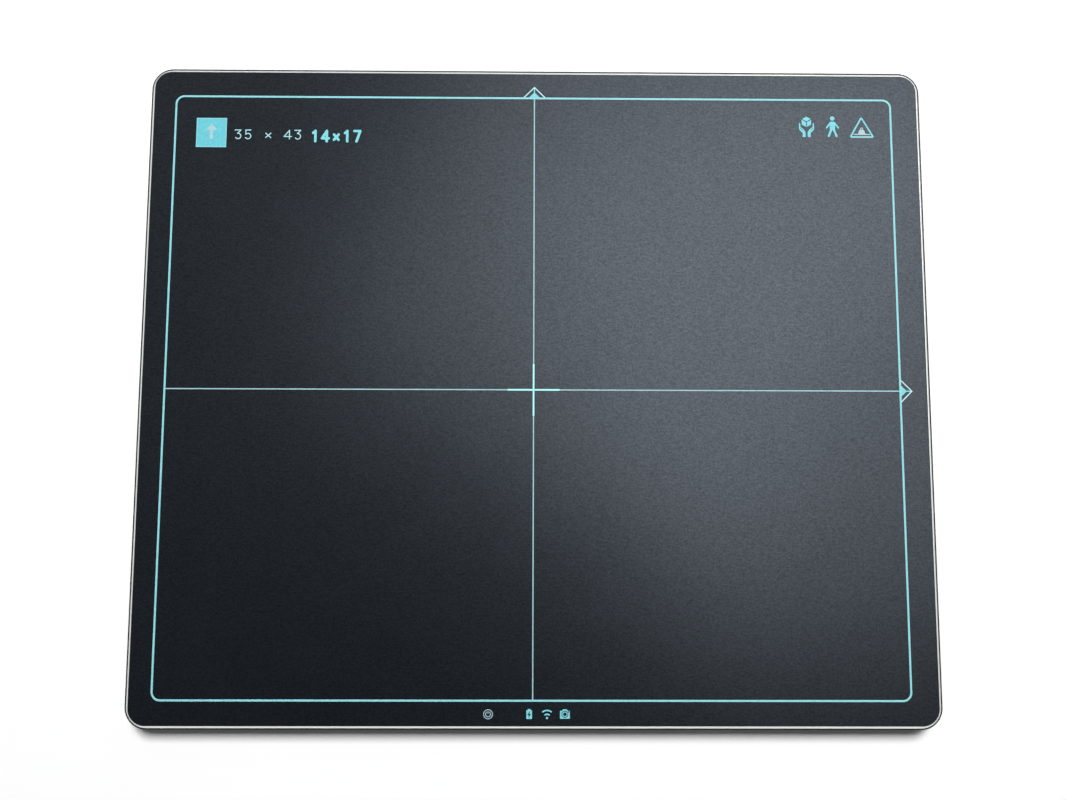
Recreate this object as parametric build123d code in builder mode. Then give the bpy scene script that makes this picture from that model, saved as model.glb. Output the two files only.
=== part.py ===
from build123d import *
import os
from math import atan2, cos, degrees, radians, sin

# A wireless flat panel X-ray detector of the 35 by 43 cm cassette format, lying on its back.
# X runs along the long side, Y along the short side and Z out of the front face.
# The origin is under the centre of the housing, on the surface that the detector lies on.

os.makedirs("parts", exist_ok=True)

# Housing
panel_length = 460.0
panel_width = 384.0
panel_height = 15.0
housing_radius = 12.4
least_inner_radius = 4.0
pad_stand = 0.4
back_edge_radius = 1.2
front_edge_chamfer = 0.2

# Front: dark lip, bright bezel with a 45 degree chamfer, front plate
lip_width = 0.7
bond_gap = 0.05
bezel_chamfer = 1.7
bezel_land = 0.15
plate_seam = 0.1
plate_thickness = 2.0
ledge_width = 5.5
ledge_thickness = 0.8
tape_thickness = 0.3
tape_width = 2.8
tape_margin = 1.0

# Image stack, from the front plate backwards
foam_thickness = 0.8
scintillator_thickness = 0.6
glass_thickness = 0.7
shield_thickness = 0.3
support_thickness = 2.5
foam_margin = 10.0
support_gap = 0.4
active_margin_x = 16.5
active_margin_y = 17.0
active_centre_x = -1.35
active_centre_y = -0.57
scintillator_border = 1.0
glass_plain_border = 1.6
glass_bond_border = 3.75

# Side walls and rail of the frame
rail_width = 8.0
upper_wall = 4.0
back_lip = 2.6
cover_gap = 0.2
cover_thickness = 1.5

# Print on the front plate
ink_thickness = 0.06
border_inset_x = 0.5
border_inset_y = 0.05
border_line = 1.1
border_radius = 4.7
thin_line = 0.65
cross_line = 0.95
cross_length = 30.0
arrow_reach = 6.6
arrow_line = 0.6
arrow_core = 3.2

# Print beside the title corner
tile_size = 17.9
tile_inset_x = 12.45
tile_inset_y = 13.28
tile_arrow_head = 3.2
light_digit_height = 5.35
light_digit_pitch = 5.9
light_digit_line = 0.6
light_digit_lift = 5.25
light_digits_gap = 4.6
bold_digit_height = 6.35
bold_digit_pitch = 6.3
bold_digit_line = 1.5
bold_digit_lift = 4.0
bold_digits_gap = 4.4
digit_gap = 0.9

# Handling symbols, upper right, and status symbols, lower edge
handling_inset_x = 17.55
handling_inset_y = 16.58
person_symbol_gap = 17.4
box_symbol_gap = 15.55
status_inset = 9.1
power_symbol_x = -26.3
power_ring = 2.7
power_ring_inner = 1.62
power_line = 0.45
power_gap = 1.3
first_status_x = -3.3
status_pitch = 10.0
radio_line = 0.8
radio_spread = 35
radio_base = 2.0
radio_dot = 0.62
radio_reach_inner = 2.05
radio_reach_outer = 4.1

# Power button and status lights in the lower side wall
side_wall = 3.0
side_axis_z = 5.6
button_radius = 2.4
button_recess = 0.2
button_clearance = 0.08
button_travel = 0.4
button_flange = 1.0
button_ear_length = 8.6
button_ear_height = 4.4
button_edge_radius = 0.3
button_stem_radius = 1.3
seal_width = 0.8
seal_depth = 0.7
seal_clearance = 0.05
lens_length = 3.0
lens_height = 1.4
lens_flange = 0.5
lens_clearance = 0.05
lens_recess = 0.05
button_board_left = -38.0
button_board_right = 25.0
side_pocket_margin = 2.0
side_pocket_floor = 1.3
button_board_gap = 0.1
button_board_thickness = 1.0
button_board_height = 4.5
button_board_setback = 5.4
switch_size = 4.2
switch_depth = 2.0
plunger_radius = 0.9
plunger_depth = 0.9
led_size = 1.6
led_depth = 0.8

# Charging and tether port in the lower side wall
port_x = 98.0
port_z = 6.1
port_length = 28.0
port_height = 5.8
port_depth = 3.4
port_recess = 0.8
port_contact_count = 7
port_contact_pitch = 1.9
port_contact_radius = 0.6
port_window_margin = 1.0
port_contact_stand = 0.1
port_contact_tail = 1.0
magnet_radius = 2.0
magnet_depth = 2.0
magnet_offset = 10.6

# Battery, its bay and its latches
battery_length = 190.0
battery_width = 112.0
battery_radius = 4.0
battery_clearance = 0.4
battery_lift = 12.0
battery_end_wall = 3.0
battery_side_wall = 1.2
battery_face = 1.0
battery_lid_thickness = 0.8
battery_top_gap = 0.2
battery_edge_radius = 0.3
tray_wall = 1.0
tray_floor = 0.7
tray_top_gap = 0.2
tray_opening_gap = 0.3
cell_count = 3
cell_thickness = 4.4
cell_gap = 1.0
cell_board_gap = 6.5
cell_side_gap = 1.5
cell_radius = 2.0
battery_board_length = 16.0
battery_board_thickness = 1.0
battery_board_end_gap = 0.5
battery_board_side_gap = 2.0
pin_count = 6
pin_pitch = 3.0
pin_radius = 0.6
pin_inset = 10.0
battery_pad_radius = 0.85
battery_pad_bore = 0.9
connector_length = 22.0
connector_width = 6.0

latch_engagement = 1.2
latch_travel = 4.0
latch_play = 0.15
latch_thickness = 1.25
latch_tongue_width = 14.0
latch_width = 22.0
latch_body_start = 1.6
latch_body_length = 17.6
latch_knob_start = 5.9
latch_knob_length = 8.0
latch_knob_width = 12.0
latch_knob_recess = 0.15
latch_float = 0.05
latch_side_clearance = 0.1
latch_ridge_count = 4
latch_ridge_depth = 0.35
latch_boss_length = 2.5
latch_boss_width = 4.0
notch_floor_gap = 0.2
notch_side_gap = 0.5
guide_wall = 2.0
guide_start = 2.6
latch_stop_gap = 0.8
guide_overhang = 1.1
guide_lip = 0.9
spring_length = 8.8
spring_radius = 0.85
spring_wire = 0.35
spring_turns = 8
spring_end_gap = 0.03
spring_seat_gap = 0.15

# Back: finger cups, pads, windows, label, screws
cup_edge = 23.0
cup_length = 110.0
cup_width = 17.0
cup_depth = 5.2
cup_wall = 1.2
cup_radius = 6.0
cup_rim = 1.5
cup_rim_thickness = 0.5
pad_edge_x = 34.0
pad_edge_y = 22.0
pad_length = 34.0
pad_width = 9.0
pad_inset = 0.4
window_edge_x = 80.0
window_edge_y = 17.0
window_length = 44.0
window_width = 10.0
antenna_thickness = 0.3
antenna_margin = 1.5
label_edge_x = 120.0
label_edge_y = 64.0
label_length = 90.0
label_width = 48.0
label_thickness = 0.2
label_radius = 2.0
gasket_width = 1.0
gasket_depth = 0.8
gasket_clearance = 0.05
gasket_margin = 0.35
rear_screw_inset = 5.4
rear_screw_radius = 1.0
rear_screw_head = 1.75
rear_screw_length = 5.0
rear_screw_drive = 2.3
thread_clearance = 0.04
thread_run_out = 0.5
drive_depth = 0.6
drive_width = 0.45
rear_screw_pitch = 60.0
rear_screw_corner = 30.0
rear_screw_side = 95.0
support_screw_inset = 6.1
support_screw_radius = 0.8
support_screw_head = 1.5
support_screw_head_height = 1.2
support_screw_grip = 4.0
support_screw_corner_x = 70.0
support_screw_pitch_x = 70.0
support_screw_corner_y = 52.0
support_screw_pitch_y = 85.0

# Electronics behind the support plate
standoff_height = 1.5
standoff_radius = 2.0
board_thickness = 1.2
board_screw_radius = 0.8
board_screw_head = 1.5
board_screw_head_height = 1.0
board_hole_inset = 4.0
board_hole_clearance = 0.1
board_screw_end_gap = 0.2
board_radius = 1.5
main_board_y = 5.0
main_board_width = 200.0
main_board_gap = 10.0
main_board_bay_gap = 35.6
readout_board_edge = 18.0
readout_board_end = 28.0
readout_board_width = 26.0
gate_board_edge = 36.0
gate_board_end = 52.0
gate_board_length = 24.0
readout_flex_count = 12
readout_flex_end_gap = 2.0
readout_flex_width = 26.0
gate_flex_count = 8
gate_flex_end_gap = 9.0
gate_flex_width = 24.0
flex_thickness = 0.15
flex_bend = 0.5
flex_overlap = 2.0
flex_drop_gap = 1.7
flex_slot_width = 2.2
flex_slot_radius = 0.88
flex_slot_gap = 1.5
flex_landing = 4.0
flex_step = 1.5
cable_thickness = 0.2
cable_width = 24.0
cable_overlap = 6.0
cable_pitch = 40.0
lead_width = 8.0
lead_inset = 16.0
plug_length = 3.0
chip_height = 1.2
can_height = 2.2
processor_size = 27.0
memory_length = 12.0
memory_width = 9.0
regulator_size = 10.0
coil_size = 8.0
readout_chip_length = 14.0
readout_chip_width = 5.0
large_can_length = 42.0
large_can_width = 34.0
small_can_length = 26.0
small_can_width = 22.0
module_length = 30.0
module_width = 18.0

# Sizes and places that follow from the sizes above
active_length = panel_length - 2 * active_margin_x
active_width = panel_width - 2 * active_margin_y
border_length = active_length - 2 * border_inset_x
border_width = active_width - 2 * border_inset_y
border_left = active_centre_x - border_length / 2
border_right = active_centre_x + border_length / 2
border_top = active_centre_y + border_width / 2
tile_left = border_left + tile_inset_x
tile_bottom = border_top - tile_inset_y - tile_size
handling_y = border_top - handling_inset_y
weight_symbol_x = border_right - handling_inset_x
person_symbol_x = weight_symbol_x - person_symbol_gap
box_symbol_x = person_symbol_x - box_symbol_gap
status_y = status_inset - panel_width / 2
cup_x = panel_length / 2 - cup_edge
pad_x = panel_length / 2 - pad_edge_x
pad_y = panel_width / 2 - pad_edge_y
window_x = panel_length / 2 - window_edge_x
window_y = panel_width / 2 - window_edge_y
label_x = label_edge_x - panel_length / 2
label_y = label_edge_y - panel_width / 2
rear_screw_xs = (rear_screw_pitch, 2 * rear_screw_pitch, panel_length / 2 - rear_screw_corner)
rear_screw_ys = (rear_screw_side,)
support_screw_x = panel_length / 2 - support_screw_corner_x
support_screw_y = panel_width / 2 - support_screw_corner_y
support_screw_xs = (support_screw_x - support_screw_pitch_x, support_screw_x)
support_screw_ys = (support_screw_y - support_screw_pitch_y, support_screw_y)

# The battery ends where its right latch has room beside the right finger cup
cup_inner_x = cup_x - cup_width / 2 - cup_wall - cup_rim
body_end = latch_body_start + latch_body_length
stop_start = body_end + spring_length
stop_end = stop_start + guide_wall
battery_half = battery_length / 2
battery_x = cup_inner_x - latch_stop_gap - stop_end - battery_half
bay_half_x = battery_half + battery_clearance
bay_half_y = battery_width / 2 + battery_clearance

# Boards: along the upper edge, along the left edge, and between that one and the battery
readout_board_length = panel_length - 2 * readout_board_end
readout_board_y = panel_width / 2 - readout_board_edge - readout_board_width / 2
readout_flex_room = readout_board_length - 2 * readout_flex_end_gap - readout_flex_width
readout_flex_pitch = readout_flex_room / (readout_flex_count - 1)
gate_board_width = panel_width - 2 * gate_board_end
gate_board_x = gate_board_edge + gate_board_length / 2 - panel_length / 2
gate_flex_room = gate_board_width - 2 * gate_flex_end_gap - gate_flex_width
gate_flex_pitch = gate_flex_room / (gate_flex_count - 1)
main_left = gate_board_x + gate_board_length / 2 + main_board_gap
main_right = battery_x - bay_half_x - tray_wall - main_board_bay_gap
main_low = main_board_y - main_board_width / 2
main_high = main_board_y + main_board_width / 2
main_board_length = main_right - main_left
main_board_x = (main_left + main_right) / 2

# Heights that follow from the sizes above
back_z = pad_stand
cover_top = back_z + cover_thickness
plate_bottom = panel_height - plate_thickness
ledge_bottom = plate_bottom - ledge_thickness
wall_top = ledge_bottom - tape_thickness
lip_top = panel_height - bezel_chamfer
foam_bottom = plate_bottom - foam_thickness
scintillator_bottom = foam_bottom - scintillator_thickness
glass_bottom = scintillator_bottom - glass_thickness
shield_bottom = glass_bottom - shield_thickness
support_bottom = shield_bottom - support_thickness
board_top = support_bottom - standoff_height
board_bottom = board_top - board_thickness
front_wall_y = -panel_width / 2

# Margins from the housing's outline
bezel_margin = lip_width + bond_gap
opening_margin = bezel_margin + bezel_chamfer + bezel_land
plate_margin = opening_margin + plate_seam
cover_margin = back_lip + cover_gap


def frame_slab(margin, low, high, mode=Mode.ADD):
    """Adds or cuts a slab that follows the housing's outline at an even margin inside it."""
    radius = max(housing_radius - margin, least_inner_radius)
    with BuildSketch(Plane.XY.offset(low)) as outline:
        RectangleRounded(panel_length - 2 * margin, panel_width - 2 * margin, radius)
    extrude(outline.sketch, amount=high - low, mode=mode)


def block(x_span, y_span, z_span, mode=Mode.ADD):
    """Adds or cuts a plain block between two values on each axis."""
    with BuildSketch(Plane.XY.offset(z_span[0])) as outline:
        with Locations(((x_span[0] + x_span[1]) / 2, (y_span[0] + y_span[1]) / 2)):
            Rectangle(x_span[1] - x_span[0], y_span[1] - y_span[0])
    extrude(outline.sketch, amount=z_span[1] - z_span[0], mode=mode)


def rounded_block(centre, length, width, radius, low, high, mode=Mode.ADD):
    """Adds or cuts a level block with round corners in plan."""
    with BuildSketch(Plane.XY.offset(low)) as outline:
        with Locations(centre):
            RectangleRounded(length, width, radius)
    extrude(outline.sketch, amount=high - low, mode=mode)


def slot_blocks(places, length, width, low, high, mode=Mode.ADD):
    """Adds or cuts a level block with round ends at each place."""
    with BuildSketch(Plane.XY.offset(low)) as outline:
        with Locations(*places):
            SlotOverall(length, width)
    extrude(outline.sketch, amount=high - low, mode=mode)


def posts(places, radius, low, high, mode=Mode.ADD):
    """Adds or cuts an upright round post at each place."""
    with BuildSketch(Plane.XY.offset(low)) as outline:
        with Locations(*places):
            Circle(radius)
    extrude(outline.sketch, amount=high - low, mode=mode)


def side_plane(y):
    """A plane across the lower side wall, with its normal pointing into the housing."""
    return Plane(origin=(0, y, 0), x_dir=(-1, 0, 0), z_dir=(0, 1, 0))


def side_posts(centres, radius, y_from, y_to, mode=Mode.ADD):
    """Adds or cuts round posts that run into the lower side wall at (x, z) centres."""
    with BuildSketch(side_plane(y_from)) as outline:
        with Locations(*[(-x, z) for x, z in centres]):
            Circle(radius)
    extrude(outline.sketch, amount=y_to - y_from, mode=mode)


def side_slots(centres, length, height, y_from, y_to, mode=Mode.ADD):
    """Adds or cuts blocks with round ends that run into the lower side wall."""
    with BuildSketch(side_plane(y_from)) as outline:
        with Locations(*[(-x, z) for x, z in centres]):
            SlotOverall(length, height)
    extrude(outline.sketch, amount=y_to - y_from, mode=mode)


def mirrored(values):
    """Each value and its opposite."""
    return [sign * value for value in values for sign in (-1, 1)]


def rim_places(xs, ys, inset):
    """Screw places along all four sides, at an inset from the housing's outline."""
    half_length = panel_length / 2 - inset
    half_width = panel_width / 2 - inset
    long_sides = [(x, y) for x in mirrored(xs) for y in (-half_width, half_width)]
    short_sides = [(x, y) for y in mirrored(ys) for x in (-half_length, half_length)]
    return long_sides + short_sides


def save(builder, name):
    """Labels a finished piece and writes it."""
    builder.part.label = name
    export_step(builder.part, f"parts/{name}.step")


button_centre = (power_symbol_x, side_axis_z)
lens_centres = [(first_status_x + i * status_pitch, side_axis_z) for i in range(3)]
port_centre = (port_x, port_z)
rear_screw_places = rim_places(rear_screw_xs, rear_screw_ys, rear_screw_inset)
support_screw_places = rim_places(support_screw_xs, support_screw_ys, support_screw_inset)
rail_inner_y = front_wall_y + rail_width
button_bore = button_radius + button_clearance
rear_screw_bore = rear_screw_radius + thread_clearance
support_screw_bore = support_screw_radius + thread_clearance
port_contact_span = (port_contact_count - 1) * port_contact_pitch + 2 * port_contact_radius
side_wall_inner_y = front_wall_y + side_wall
seal_y = front_wall_y + side_wall / 2 - seal_width / 2
gasket_in = rail_width - gasket_margin
gasket_out = gasket_in - gasket_width

# Frame: side walls, lip outside the bezel, rail that carries the support plate and the cover
with BuildPart() as side_frame:
    frame_slab(0, back_z, lip_top)
    fillet(side_frame.faces().sort_by(Axis.Z)[0].edges(), back_edge_radius)
    chamfer(side_frame.faces().sort_by(Axis.Z)[-1].edges(), front_edge_chamfer)
    frame_slab(lip_width, wall_top, lip_top, Mode.SUBTRACT)
    frame_slab(upper_wall, support_bottom, wall_top, Mode.SUBTRACT)
    frame_slab(rail_width, cover_top, support_bottom, Mode.SUBTRACT)
    frame_slab(back_lip, back_z, cover_top, Mode.SUBTRACT)
    # Groove for the cover's gasket
    with BuildSketch(Plane.XY.offset(cover_top)):
        for margin, mode in ((gasket_out, Mode.ADD), (gasket_in, Mode.SUBTRACT)):
            groove_radius = max(housing_radius - margin, least_inner_radius)
            RectangleRounded(
                panel_length - 2 * margin, panel_width - 2 * margin, groove_radius, mode=mode
            )
    extrude(amount=gasket_depth, mode=Mode.SUBTRACT)
    # Pocket behind the button and the status lights
    block(
        (button_board_left - side_pocket_margin, button_board_right + side_pocket_margin),
        (side_wall_inner_y, rail_inner_y),
        (cover_top + side_pocket_floor, support_bottom),
        Mode.SUBTRACT,
    )
    side_posts([button_centre], button_bore, front_wall_y, side_wall_inner_y, Mode.SUBTRACT)
    side_posts([button_centre], button_bore + seal_depth, seal_y, seal_y + seal_width, Mode.SUBTRACT)
    side_slots(
        lens_centres,
        lens_length + 2 * lens_clearance,
        lens_height + 2 * lens_clearance,
        front_wall_y,
        side_wall_inner_y,
        Mode.SUBTRACT,
    )
    # Recess of the port, with a window for its contacts
    side_slots(
        [port_centre], port_length, port_height, front_wall_y, front_wall_y + port_depth, Mode.SUBTRACT
    )
    side_slots(
        [port_centre],
        port_contact_span + 2 * port_window_margin,
        2 * (port_contact_radius + port_window_margin),
        front_wall_y + port_depth,
        rail_inner_y,
        Mode.SUBTRACT,
    )
    thread_end = back_z + rear_screw_length + thread_run_out
    posts(rear_screw_places, rear_screw_bore, cover_top, thread_end, Mode.SUBTRACT)
    posts(
        support_screw_places,
        support_screw_bore,
        support_bottom - support_screw_grip,
        support_bottom,
        Mode.SUBTRACT,
    )
save(side_frame, "side_frame")

# Bezel: bright chamfered ring with the ledge that carries the front plate
with BuildPart() as front_bezel:
    frame_slab(bezel_margin, ledge_bottom, panel_height)
    chamfer(front_bezel.faces().sort_by(Axis.Z)[-1].edges(), bezel_chamfer)
    frame_slab(opening_margin, plate_bottom, panel_height, Mode.SUBTRACT)
    frame_slab(opening_margin + ledge_width, ledge_bottom, plate_bottom, Mode.SUBTRACT)
save(front_bezel, "front_bezel")

with BuildPart() as bezel_seal:
    frame_slab(tape_margin, wall_top, ledge_bottom)
    frame_slab(tape_margin + tape_width, wall_top, ledge_bottom, Mode.SUBTRACT)
save(bezel_seal, "bezel_seal")

with BuildPart() as front_plate:
    frame_slab(plate_margin, plate_bottom, panel_height)
save(front_plate, "front_plate")


# Image stack
def stack_sheet(low_corner, high_corner, low, thickness):
    """Adds one sheet of the image stack between two corners in plan."""
    block((low_corner[0], high_corner[0]), (low_corner[1], high_corner[1]), (low, low + thickness))


active_low = (active_centre_x - active_length / 2, active_centre_y - active_width / 2)
active_high = (active_centre_x + active_length / 2, active_centre_y + active_width / 2)
sheet_low = tuple(value - scintillator_border for value in active_low)
sheet_high = tuple(value + scintillator_border for value in active_high)
glass_left = active_low[0] - glass_bond_border
glass_top = active_high[1] + glass_bond_border
glass_low = (glass_left, active_low[1] - glass_plain_border)
glass_high = (active_high[0] + glass_plain_border, glass_top)

with BuildPart() as foam_pad:
    frame_slab(foam_margin, foam_bottom, plate_bottom)
save(foam_pad, "foam_pad")

with BuildPart() as scintillator:
    stack_sheet(sheet_low, sheet_high, scintillator_bottom, scintillator_thickness)
save(scintillator, "scintillator")

with BuildPart() as sensor_glass:
    stack_sheet(glass_low, glass_high, glass_bottom, glass_thickness)
save(sensor_glass, "sensor_glass")

with BuildPart() as backscatter_shield:
    stack_sheet(sheet_low, sheet_high, shield_bottom, shield_thickness)
save(backscatter_shield, "backscatter_shield")

# Support plate with slots that let the flexes through
readout_drop_y = glass_top + flex_drop_gap
gate_drop_x = glass_left - flex_drop_gap
readout_places = [
    (i - (readout_flex_count - 1) / 2) * readout_flex_pitch
    for i in range(readout_flex_count)
]
gate_places = [
    (i - (gate_flex_count - 1) / 2) * gate_flex_pitch for i in range(gate_flex_count)
]
with BuildPart() as support_plate:
    frame_slab(upper_wall + support_gap, support_bottom, shield_bottom)
    for x in readout_places:
        rounded_block(
            (x, readout_drop_y),
            readout_flex_width + 2 * flex_slot_gap,
            flex_slot_width,
            flex_slot_radius,
            support_bottom,
            shield_bottom,
            Mode.SUBTRACT,
        )
    for y in gate_places:
        rounded_block(
            (gate_drop_x, y),
            flex_slot_width,
            gate_flex_width + 2 * flex_slot_gap,
            flex_slot_radius,
            support_bottom,
            shield_bottom,
            Mode.SUBTRACT,
        )
    posts(support_screw_places, support_screw_bore, support_bottom, shield_bottom, Mode.SUBTRACT)
save(support_plate, "support_plate")


def cross_drive(places, top, direction, size):
    """Cuts a cross recess into screw heads, from their outer face inwards."""
    with BuildSketch(Plane.XY.offset(top)) as outline:
        with Locations(*places):
            Rectangle(size, drive_width)
            Rectangle(drive_width, size)
    extrude(outline.sketch, amount=direction * drive_depth, mode=Mode.SUBTRACT)


with BuildPart() as support_screws:
    posts(
        support_screw_places,
        support_screw_radius,
        support_bottom - support_screw_grip + thread_clearance,
        shield_bottom,
    )
    head_top = shield_bottom + support_screw_head_height
    posts(support_screw_places, support_screw_head, shield_bottom, head_top)
    cross_drive(support_screw_places, head_top, -1, support_screw_head)
save(support_screws, "support_screws")


# Print on the front plate
def pen(edges, width):
    """Draws straight edges and arcs with a round pen of the given width."""
    for edge in edges:
        if edge.geom_type == GeomType.LINE:
            run = edge @ 1 - edge @ 0
            with Locations(edge @ 0.5):
                SlotCenterToCenter(edge.length, width, rotation=degrees(atan2(run.Y, run.X)))
        else:
            SlotArc(edge, width)


def straight(points):
    """The edges of an open run of straight lines."""
    return [Edge.make_line(start, end) for start, end in zip(points, points[1:])]


def arc(start, middle, end):
    """The edge of an arc through three points."""
    return [Edge.make_three_point_arc(start, middle, end)]


ink_plane = Plane.XY.offset(panel_height)

with BuildPart() as active_area_border:
    with BuildSketch(ink_plane):
        with Locations((active_centre_x, active_centre_y)):
            RectangleRounded(
                border_length + border_line,
                border_width + border_line,
                border_radius + border_line / 2,
            )
            RectangleRounded(
                border_length - border_line,
                border_width - border_line,
                border_radius - border_line / 2,
                mode=Mode.SUBTRACT,
            )
    extrude(amount=ink_thickness)
save(active_area_border, "active_area_border")

# Thin centre lines from border to border, with a bold cross in their middle
with BuildPart() as centre_lines:
    with BuildSketch(ink_plane):
        with Locations((active_centre_x, active_centre_y)):
            Rectangle(border_length - border_line, thin_line)
            Rectangle(thin_line, border_width - border_line)
            Rectangle(cross_length, cross_line)
            Rectangle(cross_line, cross_length)
    extrude(amount=ink_thickness)
save(centre_lines, "centre_lines")

# Arrows that stand on the border at the ends of the centre lines, up and to the right
with BuildPart() as centre_arrows:
    with BuildSketch(ink_plane):
        for half, turn in ((border_width / 2, 0), (border_length / 2, -90)):
            with Locations(Location((active_centre_x, active_centre_y), turn)):
                base = half + border_line / 2
                with BuildSketch(mode=Mode.PRIVATE) as arrow:
                    wings = [(-arrow_reach, base), (0, base + arrow_reach), (arrow_reach, base)]
                    Polygon(*wings, align=None)
                    inner = arrow_reach - arrow_line * 2**0.5
                    gap = [(-inner, base), (0, base + inner), (inner, base)]
                    Polygon(*gap, align=None, mode=Mode.SUBTRACT)
                    core = [(-arrow_core, base), (0, base + arrow_core), (arrow_core, base)]
                    Polygon(*core, align=None)
                    with Locations((0, base + arrow_reach / 2)):
                        Rectangle(thin_line, arrow_reach - arrow_line)
                add(arrow.sketch)
    extrude(amount=ink_thickness)
save(centre_arrows, "centre_arrows")

# Pointer tile: a square tile with an upright arrow left open in it, and the arrow that fills it
tile_centre = (tile_left + tile_size / 2, tile_bottom + tile_size / 2)


def tile_arrow(mode):
    """Adds or cuts the upright arrow of the pointer tile."""
    head = tile_arrow_head
    with Locations((tile_centre[0], tile_centre[1] + head / 2)):
        upright = (Align.CENTER, Align.MIN)
        Triangle(a=2.2 * head, b=1.6 * head, c=1.6 * head, align=upright, mode=mode)
        Rectangle(0.6 * head, 1.7 * head, align=(Align.CENTER, Align.MAX), mode=mode)


with BuildPart() as pointer_tile:
    with BuildSketch(ink_plane):
        with Locations(tile_centre):
            Rectangle(tile_size, tile_size)
        tile_arrow(Mode.SUBTRACT)
    extrude(amount=ink_thickness)
save(pointer_tile, "pointer_tile")

with BuildPart() as pointer_arrow:
    with BuildSketch(ink_plane):
        tile_arrow(Mode.ADD)
    extrude(amount=ink_thickness)
save(pointer_arrow, "pointer_arrow")


def digit(character, left, bottom, width, height):
    """The edges of one plain figure, drawn in a box of the given size."""

    def at(u, v):
        return (left + u * width, bottom + v * height)

    def bowl(turn):
        """A point on the round lower half of a 3 or a 5."""
        radius = 0.31 * height
        side = radius * cos(radians(turn))
        return (left + width / 2 + side, bottom + radius + radius * sin(radians(turn)))

    if character == "1":
        return straight([at(0.25, 0.8), at(0.6, 1), at(0.6, 0)])
    if character == "3":
        top = straight([at(0.1, 1), at(0.88, 1), bowl(100)])
        return top + arc(bowl(100), bowl(0), bowl(-145))
    if character == "4":
        return straight([at(0.72, 0), at(0.72, 1), at(0, 0.28), at(1, 0.28)])
    if character == "5":
        top = straight([at(0.88, 1), at(0.2, 1), bowl(140)])
        return top + arc(bowl(140), bowl(0), bowl(-145))
    if character == "7":
        return straight([at(0.05, 1), at(0.95, 1), at(0.4, 0)])
    rising = straight([at(0.2, 0.15), at(0.9, 0.65)])
    return rising + straight([at(0.2, 0.65), at(0.9, 0.15)])


def figures(text, left, bottom, height, pitch, line):
    """Inks a row of plain figures, with a space between words."""
    width = pitch - line - digit_gap
    for place, character in enumerate(text):
        if character != " ":
            pen(digit(character, left + place * pitch, bottom, width, height), line)


# The cassette format in centimetres and in inches, as plain figures
with BuildPart() as size_figures:
    with BuildSketch(ink_plane):
        light_left = tile_left + tile_size + light_digits_gap
        bold_left = light_left + len("35 x 43") * light_digit_pitch + bold_digits_gap
        light_bottom = tile_bottom + light_digit_lift
        bold_bottom = tile_bottom + bold_digit_lift
        light = (light_digit_height, light_digit_pitch, light_digit_line)
        bold = (bold_digit_height, bold_digit_pitch, bold_digit_line)
        figures("35 x 43", light_left, light_bottom, *light)
        figures("14x17", bold_left, bold_bottom, *bold)
    extrude(amount=ink_thickness)
save(size_figures, "size_figures")


def hand(side):
    """One raised hand of the box symbol: forearm, palm and fingers, on the given side."""
    outline = [
        (0.65, -6.3), (2.5, -6.3), (2.3, -3.9), (4.3, -1.9), (4.55, -0.6), (4.45, 2.2),
        (3.75, 2.2), (3.7, 0.1), (1.6, -1.7), (0.65, -3.2),
    ]
    Polygon(*[(side * x, y) for x, y in outline], align=None)
    # The line between thumb and palm
    thumb = [(3.95, -0.4), (2.25, -2.1), (2.45, -2.3), (3.95, -0.8)]
    Polygon(*[(side * x, y) for x, y in thumb], align=None, mode=Mode.SUBTRACT)


def cube_face(turn):
    """One of the three visible faces of a box seen from its corner, shrunk off its neighbours."""
    reach = 2.95
    split = 0.3
    height = 3.05
    shift = (split * cos(radians(turn)), height + split * sin(radians(turn)))
    turns = [radians(turn + step) for step in (-60, 0, 60)]
    corners = [(0, 0)] + [(reach * cos(angle), reach * sin(angle)) for angle in turns]
    with Locations(shift):
        Polygon(*corners, align=None)


def limb(side, start, end, width):
    """One arm or leg of the person symbol, on the given side."""
    points = [(person_symbol_x + side * x, handling_y + y) for x, y in (start, end)]
    pen(straight(points), width)


# Handling symbols: a box carried by two hands, a person, a rounded triangle with a weight
with BuildPart() as handling_symbols:
    with BuildSketch(ink_plane):
        with Locations((box_symbol_x, handling_y)):
            hand(-1)
            hand(1)
            for face_turn in (90, 210, 330):
                cube_face(face_turn)
        with Locations((person_symbol_x, handling_y)):
            with Locations((0, 5.2)):
                Circle(1.35)
            shoulders = [(-1.3, 3.2), (1.3, 3.2), (1.6, 2.2)]
            Polygon(*shoulders, (1.6, -1.9), (-1.6, -1.9), (-1.6, 2.2), align=None)
        for side in (-1, 1):
            limb(side, (1.1, 2.7), (3.5, -0.5), 0.95)
            limb(side, (0.75, -1.7), (2.3, -5.55), 1.3)
        with BuildSketch(mode=Mode.PRIVATE) as warning:
            corners = [(-6.15, -5.75), (6.15, -5.75), (0, 5.05)]
            with Locations((weight_symbol_x, handling_y)):
                Polygon(*corners, align=None)
            offset(amount=0.85, kind=Kind.ARC)
            with Locations((weight_symbol_x, handling_y)):
                Polygon((-6.0, -5.6), (6.0, -5.6), (0, 4.93), align=None, mode=Mode.SUBTRACT)
        add(warning.sketch)
        with Locations((weight_symbol_x, handling_y - 4.5)):
            Rectangle(10.0, 0.6)
        # A plain weight on the bar
        with Locations((weight_symbol_x, handling_y - 3.0)):
            Trapezoid(4.4, 2.4, 72)
        with Locations((weight_symbol_x, handling_y - 1.2)):
            Circle(0.95)
            Circle(0.45, mode=Mode.SUBTRACT)
    extrude(amount=ink_thickness)
save(handling_symbols, "handling_symbols")


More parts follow.
